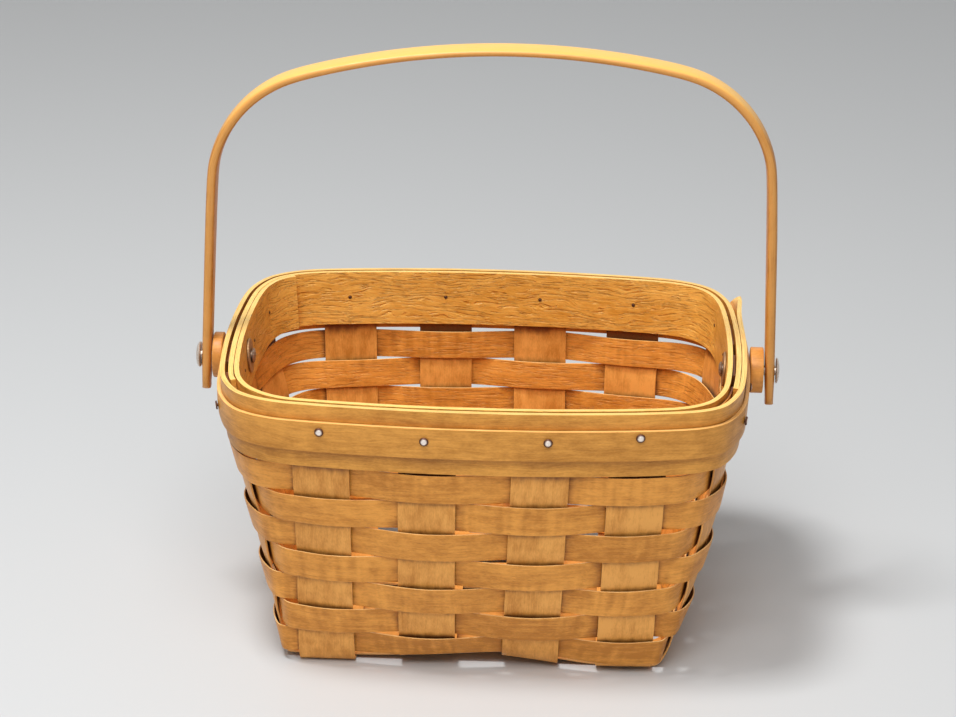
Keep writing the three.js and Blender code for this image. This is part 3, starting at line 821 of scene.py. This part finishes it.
@dataclass
class Strip:
    """One splint, band or bow, taken from its CAD node and given rounded edges and grain."""

    node: str
    run: Run
    finish: WoodFinish
    slot: str
    crevices: Crevices | None = None
    body: str = BASKET
    seed: int = 0
    tint: float = 0.5
    edge: float = 0.25 * MM
    edge_angle: float = math.radians(55)
    # How much of the painted highlight the upward faces get.
    fade: float = 0.85

    def build(self) -> bpy.types.Object:
        """Makes the piece, dresses it and puts it in the CAD node's place.

        Returns:
            The finished piece.
        """
        piece = copy_of_node(self.node, self.node + "_wood")
        self.round_edges(piece)
        unwinding = unwinding_of(self.run, piece)
        unwinding.count_turns(piece)
        self.curve(piece)
        # How closed in each point is sets its painted crevice shade.
        closed = np.zeros(len(piece.data.vertices))
        if self.crevices:
            closed = self.crevices.closeness(piece, self.node)
        write_attribute(piece, "closed", "FLOAT", "POINT", closed)
        self.curve(piece)
        bpy.ops.object.shade_smooth_by_angle(angle=SMOOTH_ANGLE)
        place = unwinding.lay_out(piece) + np.random.default_rng(self.seed).uniform(0, 1, 3)
        write_attribute(piece, "grain", "FLOAT_VECTOR", "POINT", place)
        write_attribute(piece, "rough_side", "FLOAT", "POINT", self.faces_in(piece, unwinding))
        write_attribute(piece, "tint", "FLOAT", "POINT", np.full(len(piece.data.vertices), self.tint))
        write_attribute(piece, "cut", "FLOAT", "FACE", self.sawn(piece))
        if self.finish.faded:
            # Painted highlight: the more a point faces up, the more of the paler colour it gets.
            upwards = ramp(normals_of(piece)[:, 2], 0.3, 0.8)
            write_attribute(piece, "faded", "FLOAT", "POINT", self.fade * upwards)
        piece.data.materials.append(self.finish.material())
        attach(piece, self.body)
        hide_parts(self.node)
        log.info("%s: %d faces", piece.name, len(piece.data.polygons))
        return piece

    def round_edges(self, piece: bpy.types.Object) -> None:
        """Rounds the strip's long edges.

        Args:
            piece: the strip, as the CAD node has it.
        """
        bevel = piece.modifiers.new("edges", "BEVEL")
        bevel.width = self.edge
        bevel.segments = 2
        bevel.limit_method = "ANGLE"
        bevel.angle_limit = self.edge_angle
        apply_modifiers(piece)

    def faces_in(self, piece: bpy.types.Object, unwinding: Unwinding) -> np.ndarray:
        """Finds which points look towards the centre that the strip bends round.

        Args:
            piece: the finished mesh.
            unwinding: how the strip is laid out.

        Returns:
            One value for each point, 1 where it faces in.
        """
        plane = (unwinding.first, unwinding.second)
        spokes = points_of(piece)[:, plane] - np.array(unwinding.centre)
        inwards = -(normals_of(piece)[:, plane] * spokes).sum(1) / np.hypot(*spokes.T)
        return ramp(inwards, 0, 0.5)

    def curve(self, piece: bpy.types.Object) -> None:
        """Smooths the bends once.

        Args:
            piece: the strip.
        """
        subdivision = piece.modifiers.new("curve", "SUBSURF")
        subdivision.levels = subdivision.render_levels = 1
        apply_modifiers(piece)

    def sawn(self, piece: bpy.types.Object) -> np.ndarray:
        """Gives each face of the finished mesh a value by its normal, 1 on a sawn edge."""
        sideways = {Run.AROUND: 2, Run.FRONT_TO_BACK: 0, Run.SIDE_TO_SIDE: 1, Run.BOW: 1}[self.run]
        return ramp(np.abs(face_normals_of(piece)[:, sideways]), 0.55, 0.8)


@dataclass
class WovenBody:
    """The stakes and the weavers."""

    crevices: Crevices
    long_tints: tuple[float, ...] = (0.58, 0.42, 0.52, 0.18)
    cross_tints: tuple[float, ...] = (0.45, 0.55, 0.40, 0.50)
    # Each weaver's tone; the lower rows are darker, painted shade near the floor, and the top row lighter,
    # painted light against the inner band's shadow.
    weaver_tints: tuple[float, ...] = (0.38, 0.44, 0.62, 0.50, 0.52, 0.66, 0.78)

    def build(self) -> None:
        """Makes every splint."""
        for kind, run, tints, seed in (
            ("long", Run.FRONT_TO_BACK, self.long_tints, 10),
            ("cross", Run.SIDE_TO_SIDE, self.cross_tints, 20),
        ):
            for k, tint in enumerate(tints, 1):
                name = f"stake_{kind}_{k}"
                Strip(name, run, STAKE_WOOD, "stake_splint", self.crevices, seed=seed + k, tint=tint).build()
        for k, tint in enumerate(self.weaver_tints, 1):
            name, seed = f"weaver_{k}", 30 + k
            Strip(name, Run.AROUND, WEAVER_WOOD, "weaver_splint", self.crevices, seed=seed, tint=tint).build()


@dataclass
class Rim:
    """The two lapped bands and the trim strip."""

    crevices: Crevices
    band_edge: float = 0.45 * MM
    trim_edge: float = 0.4 * MM

    def build(self) -> None:
        """Makes the three strips."""
        for name, finish, edge, seed in (
            ("outer_band", BAND_WOOD, self.band_edge, 41),
            ("inner_band", INNER_WOOD, self.band_edge, 42),
            ("trim_strip", TRIM_WOOD, self.trim_edge, 43),
        ):
            Strip(name, Run.AROUND, finish, "rim_wood", self.crevices, seed=seed, edge=edge).build()


# Turned pieces


@dataclass(frozen=True)
class MetalFinish(Finish):
    """A steel: its clean and its tarnished colour, its roughness and how much it is scuffed."""

    clean: Colour
    tarnished: Colour
    roughness: float
    scuffs: float

    def dress(self, g: Graph, shader: bpy.types.NodeInputs) -> None:
        """Tarnishes and scuffs the steel, less where the bright attribute is high; on the nail heads that
        brightness is a painted highlight.

        Args:
            g: the material's nodes.
            shader: the shader's inputs.
        """
        place = g.add("TexCoord").outputs["Object"]
        dull = g.noise(g.scaled(place, 900, 900, 900), detail=3)
        scratch = g.noise(g.scaled(place, 400, 3000, 3000), detail=2)
        bright = g.attribute("bright")
        clean = g.math("MULTIPLY_ADD", g.math("SUBTRACT", dull, 0.5), -0.9, bright, clamp=True)
        rough = g.math("MULTIPLY_ADD", dull, self.scuffs, self.roughness)
        rough = g.math("MULTIPLY_ADD", g.math("SUBTRACT", 1.0, clean), 0.25, rough)
        bump = g.add("Bump", Height=scratch, Strength=0.6, Distance=0.03 * MM)
        g.put(shader["Base Color"], g.mix(clean, self.tarnished, self.clean))
        g.put(shader["Roughness"], rough)
        g.put(shader["Normal"], bump.outputs[0])
        g.put(shader["Metallic"], 1.0)


# On the nail heads the clean colour is a painted highlight, and the tarnished colour is also painted shade.
NAIL_STEEL = MetalFinish("worn_nail_steel", (0.98, 0.88, 0.80), (0.13, 0.06, 0.038), 0.24, 0.2)
RIVET_STEEL = MetalFinish("worn_rivet_steel", (0.74, 0.66, 0.58), (0.22, 0.12, 0.06), 0.25, 0.25)
WASHER_STEEL = MetalFinish("aged_washer_steel", (0.50, 0.33, 0.18), (0.20, 0.09, 0.035), 0.36, 0.25)


def turned(
    name: str, profile: list[tuple[float, float]], steps: int, closed: bool = False
) -> bpy.types.Object:
    """Turns a profile about the z axis, as on a lathe.

    Args:
        name: the new object's name.
        profile: radius and height of each point, in metres.
        steps: how many faces go round.
        closed: whether the last point joins the first, as on a ring.

    Returns:
        The new object, at the origin.
    """
    count = len(profile)
    edges = [(k, (k + 1) % count) for k in range(count if closed else count - 1)]
    mesh = bpy.data.meshes.new(name)
    mesh.from_pydata([(radius, 0, height) for radius, height in profile], edges, [])
    piece = new_object(name, mesh)
    make_active(piece)
    bpy.ops.object.mode_set(mode="EDIT")
    bpy.ops.mesh.select_all(action="SELECT")
    bpy.ops.mesh.spin(steps=steps, angle=math.tau, center=(0, 0, 0), axis=(0, 0, 1))
    bpy.ops.mesh.select_all(action="SELECT")
    bpy.ops.mesh.remove_doubles(threshold=WELD / 2)
    bpy.ops.mesh.normals_make_consistent(inside=False)
    bpy.ops.object.mode_set(mode="OBJECT")
    bpy.ops.object.shade_smooth_by_angle(angle=LATHE_SMOOTH_ANGLE)
    return piece


def copy_of(piece: bpy.types.Object, name: str) -> bpy.types.Object:
    """Copies a piece with its own mesh.

    Args:
        piece: the piece.
        name: the copy's name.

    Returns:
        The copy.
    """
    mesh = piece.data.copy()
    mesh.name = name
    return new_object(name, mesh)


def stood_on(start: np.ndarray, way: np.ndarray) -> Matrix:
    """Gives the place of a turned piece whose foot is at a point and whose axis runs one way."""
    turn = Vector(way).to_track_quat("Z", "Y").to_matrix().to_4x4()
    return Matrix.Translation(Vector(start)) @ turn


@dataclass(frozen=True)
class RoundAxis:
    """The axis of a round CAD node, from its inner end to its outer end."""

    start: np.ndarray
    way: np.ndarray
    length: float


def axis_of(node: str, slender: bool) -> RoundAxis:
    """Finds the axis of a round CAD node that points out of the basket.

    Args:
        node: the CAD node's name.
        slender: whether it is longer than it is wide, as a nail is and a washer isn't.

    Returns:
        The axis.
    """
    points = points_of(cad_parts[node])
    middle = points.mean(0)
    ways = np.linalg.svd(points - middle, full_matrices=False)[2]
    way = ways[0] if slender else ways[2]
    if way[0] * middle[0] + way[1] * middle[1] < 0:
        way = -way
    places = (points - middle) @ way
    return RoundAxis(middle + way * places.min(), way, float(np.ptp(places)))


def fit(piece: bpy.types.Object, place: Matrix, node: str, finish: Finish) -> None:
    """Puts a turned piece in a CAD node's place and gives it its finish.

    Args:
        piece: the piece, with its foot at the origin.
        place: where it goes.
        node: the CAD node that it stands for.
        finish: its finish.
    """
    piece.data.transform(place)
    piece.data.update()
    piece.data.materials.append(finish.material())
    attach(piece, BASKET)
    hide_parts(node)
    log.info("%s: %d faces", piece.name, len(piece.data.polygons))


@dataclass
class Nails:
    """The nails through the rim: low heads with a bright centre, which is a painted highlight, and a dark
    tarnished ring, which is also painted shade, and blunt tips inside.
    """

    head_radius: float = 2.3 * MM
    head_height: float = 1.1 * MM
    shank_radius: float = 0.8 * MM
    bright_radius: float = 1.05 * MM
    ring_share: float = 0.74
    tarnish_and_shade: float = -0.3
    model_length: float = 9 * MM
    steps: int = 24

    def model(self) -> bpy.types.Object:
        """Turns one nail, with its tip at the origin.

        Returns:
            The nail, with an attribute that is 1 on the bright centre of its head, a painted highlight, and
            low on the tarnished ring, also painted shade, and on the shank.
        """
        length, head, shank = self.model_length, self.head_radius, self.shank_radius
        under = length - self.head_height
        # The tip, the shank, and the head from its underside to its crown
        profile = [
            (0, 0),
            (shank * 0.7, 0.05 * MM),
            (shank, 0.3 * MM),
            (shank, under),
            (head * 0.95, under + 0.05 * MM),
            (head, under + 0.25 * MM),
            (head * 0.97, under + 0.5 * MM),
            (head * 0.86, under + 0.8 * MM),
            (self.bright_radius, under + 0.98 * MM),
            (head * 0.4, length - 0.03 * MM),
            (0, length),
        ]
        nail = turned("nail_model", profile, self.steps)
        points = points_of(nail)
        reach = np.hypot(points[:, 0], points[:, 1])
        on_head = points[:, 2] > under + 0.7 * MM
        # Painted highlight on the head's centre, falling off to the tarnished ring, which is also painted
        # shade.
        ring = head * self.ring_share
        inwards = (ring - reach) / (ring - self.bright_radius)
        bright = np.where(on_head, np.clip(inwards, self.tarnish_and_shade, 1), self.tarnish_and_shade)
        write_attribute(nail, "bright", "FLOAT", "POINT", bright)
        return nail

    def build(self) -> None:
        """Copies the nail to each place, with its shank as long as the node's."""
        model = self.model()
        for node in [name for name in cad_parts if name.startswith("nail_")]:
            axis = axis_of(node, slender=True)
            nail = copy_of(model, node + "_worn")
            points = points_of(nail)
            points[:, 2] += np.where(points[:, 2] > 1 * MM, axis.length - self.model_length, 0)
            nail.data.vertices.foreach_set("co", points.ravel())
            fit(nail, stood_on(axis.start, axis.way), node, NAIL_STEEL)
        bpy.data.objects.remove(model)


@dataclass
class SwingHandle:
    """The bow, with the spacers, rivets and washers that it turns on."""

    spacer_radius: float = 11.9 * MM
    spacer_hole: float = 2.8 * MM
    spacer_round: float = 0.6 * MM
    spacer_lip: float = 0.25 * MM
    spacer_tint: float = 0.45
    spacer_steps: int = 64
    head_radius: float = 6.7 * MM
    shank_radius: float = 2.5 * MM
    clinch_radius: float = 4 * MM
    clinch_height: float = 1.6 * MM
    washer_radius: float = 9 * MM
    washer_hole: float = 3.1 * MM
    head_heights: tuple[tuple[Side, float], ...] = ((Side.RIGHT, 1.8 * MM), (Side.LEFT, 2.5 * MM))
    head_bright: float = 0.8
    clinch_bright: float = 0.2
    washer_rim_bright: float = 0.7
    washer_bright: float = 0.35
    steel_steps: int = 48

    def build(self) -> None:
        """Makes the bow, then both pivots."""
        Strip("handle_bow", Run.BOW, BOW_WOOD, "handle_wood", body=HANDLE, seed=51, edge=0.4 * MM).build()
        for side, head_height in self.head_heights:
            self.spacer(side)
            self.rivet(side, head_height)
            self.washer(side)

    def along_x(self, node: str, side: Side) -> tuple[Matrix, float]:
        """Measures a node that lies along the pivot axis.

        Args:
            node: the CAD node's name.
            side: its side.

        Returns:
            The place of a turned piece that stands on its inner end, and its length.
        """
        low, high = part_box(node)
        middle = (np.array(low) + np.array(high)) / 2
        start = np.array([low[0] if side is Side.RIGHT else high[0], middle[1], middle[2]])
        return stood_on(start, np.array([side.value, 0, 0])), high[0] - low[0]

    def spacer(self, side: Side) -> None:
        """Turns one spacer, with softened rims and a paler end grain.

        Args:
            side: its side.
        """
        node = side.node("spacer")
        place, length = self.along_x(node, side)
        radius, hole, soft, lip = self.spacer_radius, self.spacer_hole, self.spacer_round, self.spacer_lip
        corner = [(math.sin(math.radians(a)), 1 - math.cos(math.radians(a))) for a in (0, 22, 45, 68, 90)]
        near = [(radius - soft + soft * s, soft * c) for s, c in corner]
        far = [(r, length - h) for r, h in reversed(near)]
        profile = [(hole, lip), (hole + lip, 0), *near, *far, (hole + lip, length), (hole, length - lip)]
        piece = turned(node + "_turned", profile, self.spacer_steps, closed=True)
        points = points_of(piece)
        grain = points[:, (2, 0, 1)] + 0.3 + 0.2 * side.value
        write_attribute(piece, "grain", "FLOAT_VECTOR", "POINT", grain)
        count = len(points)
        write_attribute(piece, "tint", "FLOAT", "POINT", np.full(count, self.spacer_tint))
        write_attribute(piece, "closed", "FLOAT", "POINT", np.zeros(count))
        write_attribute(piece, "rough_side", "FLOAT", "POINT", np.zeros(count))
        write_attribute(piece, "cut", "FLOAT", "FACE", ramp(np.abs(face_normals_of(piece)[:, 2]), 0.5, 1))
        fit(piece, place, node, SPACER_WOOD)

    def rivet(self, side: Side, head_height: float) -> None:
        """Turns one rivet: a low domed head outside, a shank, and a spread clinch inside.

        Args:
            side: its side.
            head_height: how far the head stands out of the leg.
        """
        node = side.node("rivet")
        place, length = self.along_x(node, side)
        head, shank, clinch = self.head_radius, self.shank_radius, self.clinch_radius
        under = length - head_height
        dome = [(math.cos(math.radians(a)), math.sin(math.radians(a))) for a in (20, 40, 55, 70, 80)]
        # The clinch, the shank, and the head from its underside to its crown
        profile = [
            (0, 0),
            (clinch * 0.5, 0.08 * self.clinch_height),
            (clinch * 0.85, 0.35 * self.clinch_height),
            (clinch, 0.75 * self.clinch_height),
            (clinch * 0.95, self.clinch_height),
            (shank, self.clinch_height),
            (shank, under),
            (head * 0.96, under),
            (head, under + 0.2 * head_height),
            *[(head * c, under + head_height * (0.2 + 0.8 * s)) for c, s in dome],
            (0, length),
        ]
        piece = turned(node + "_worn", profile, self.steel_steps)
        outer = points_of(piece)[:, 2] > length / 2
        bright = np.where(outer, self.head_bright, self.clinch_bright)
        write_attribute(piece, "bright", "FLOAT", "POINT", bright)
        fit(piece, place, node, RIVET_STEEL)

    def washer(self, side: Side) -> None:
        """Turns one washer, with softened rims.

        Args:
            side: its side.
        """
        node = side.node("washer")
        axis = axis_of(node, slender=False)
        radius, hole, thick = self.washer_radius, self.washer_hole, axis.length
        soft = 0.2 * thick
        profile = [
            (hole, soft),
            (hole + soft, 0),
            (radius - soft, 0),
            (radius, soft),
            (radius, thick - soft),
            (radius - soft, thick),
            (hole + soft, thick),
            (hole, thick - soft),
        ]
        piece = turned(node + "_worn", profile, self.steel_steps, closed=True)
        on_rim = np.hypot(*points_of(piece)[:, :2].T) > radius - 2 * soft
        bright = np.where(on_rim, self.washer_rim_bright, self.washer_bright)
        write_attribute(piece, "bright", "FLOAT", "POINT", bright)
        fit(piece, stood_on(axis.start, axis.way), node, WASHER_STEEL)


# Studio


@dataclass(frozen=True)
class Paint(Finish):
    """A plain paint."""

    colour: Colour
    roughness: float

    def dress(self, g: Graph, shader: bpy.types.NodeInputs) -> None:
        """Sets the shader's colour and roughness."""
        g.put(shader["Base Color"], self.colour)
        g.put(shader["Roughness"], self.roughness)


FLOOR_PAINT = Paint("floor_paint", (0.57, 0.58, 0.585), 0.55)


@dataclass(frozen=True)
class Lamp:
    """A soft square lamp: where it hangs, how wide it is, and its power in watts."""

    name: str
    place: Point
    size: float
    power: float

    def hang(self, aim: Vector) -> None:
        """Makes the lamp.

        Args:
            aim: the point that it faces.
        """
        data = bpy.data.lights.new(self.name, "AREA")
        data.size = self.size
        data.energy = self.power
        lamp = bpy.data.objects.new(self.name, data)
        lamp.location = self.place
        lamp.rotation_euler = (aim - Vector(self.place)).to_track_quat("-Z", "Y").to_euler()
        bpy.context.scene.collection.objects.link(lamp)


@dataclass
class Studio:
    """A pale floor, soft lamps, and the camera of the photograph."""

    focal_px: float = 3003
    place: Point = (0.056, -1.447, 0.7252)
    yaw: float = -2.4
    pitch: float = 21.99
    roll: float = 0.75
    lamps: tuple[Lamp, ...] = (
        Lamp("key", (-0.38, -0.22, 1.6), 0.35, 19),
        Lamp("front", (-0.05, -1.05, 1.55), 1.1, 18),
    )
    lamp_aim: Point = (0, 0, 0.1)
    floor_size: float = 12
    sky_level: float = 0.25
    seen_level: float = 0.85

    def build(self) -> None:
        """Makes the floor, the lamps, the world and the camera."""
        self.camera()
        self.floor()
        for lamp in self.lamps:
            lamp.hang(Vector(self.lamp_aim))
        self.surroundings()
        bpy.context.scene.view_settings.view_transform = "Standard"

    def surroundings(self) -> None:
        """Lights the basket softly from all round, and shows a pale studio to the camera and the metal."""
        world = bpy.data.worlds.new("studio")
        bpy.context.scene.world = world
        world.use_nodes = True
        g = Graph(world.node_tree)
        path = g.add("LightPath").outputs
        seen = g.math("MAXIMUM", path["Is Camera Ray"], path["Is Glossy Ray"])
        seen = g.math("MAXIMUM", seen, path["Is Transmission Ray"])
        strength = g.math("MULTIPLY_ADD", seen, self.seen_level - self.sky_level, self.sky_level)
        back = world.node_tree.nodes["Background"].inputs
        g.put(back["Color"], (1, 1, 1))
        g.put(back["Strength"], strength)

    def camera(self) -> None:
        """Places the camera by its fitted turn."""
        yaw, pitch, roll = (math.radians(a) for a in (self.yaw, self.pitch, self.roll))
        level = math.cos(pitch)
        forward = Vector((math.sin(yaw) * level, math.cos(yaw) * level, -math.sin(pitch)))
        right = Vector((math.cos(yaw), -math.sin(yaw), 0))
        up = right.cross(forward)
        right, up = (
            math.cos(roll) * right + math.sin(roll) * up,
            math.cos(roll) * up - math.sin(roll) * right,
        )
        data = bpy.data.cameras.new("camera")
        data.sensor_width = 36
        data.lens = self.focal_px * data.sensor_width / PHOTO_WIDTH
        data.clip_start, data.clip_end = 0.05, 50
        camera = bpy.data.objects.new("camera", data)
        turn = Matrix((right, up, -forward)).transposed().to_4x4()
        camera.matrix_world = Matrix.Translation(self.place) @ turn
        bpy.context.scene.collection.objects.link(camera)
        bpy.context.scene.camera = camera

    def floor(self) -> None:
        """Lays the pale floor."""
        deselect_all()
        bpy.ops.mesh.primitive_plane_add(size=self.floor_size)
        floor = bpy.context.object
        floor.name = "floor"
        floor.data.materials.append(FLOOR_PAINT.material())


def main() -> None:
    """Builds the basket's looks and the studio."""
    logging.basicConfig(level=logging.INFO, format="%(name)s %(message)s")
    crevices = Crevices()
    for part in (WovenBody(crevices), Rim(crevices), Nails(), SwingHandle(), Studio()):
        part.build()
        log.info("%s is done", type(part).__name__)
    bpy.context.view_layer.update()


if __name__ == "__main__":
    main()
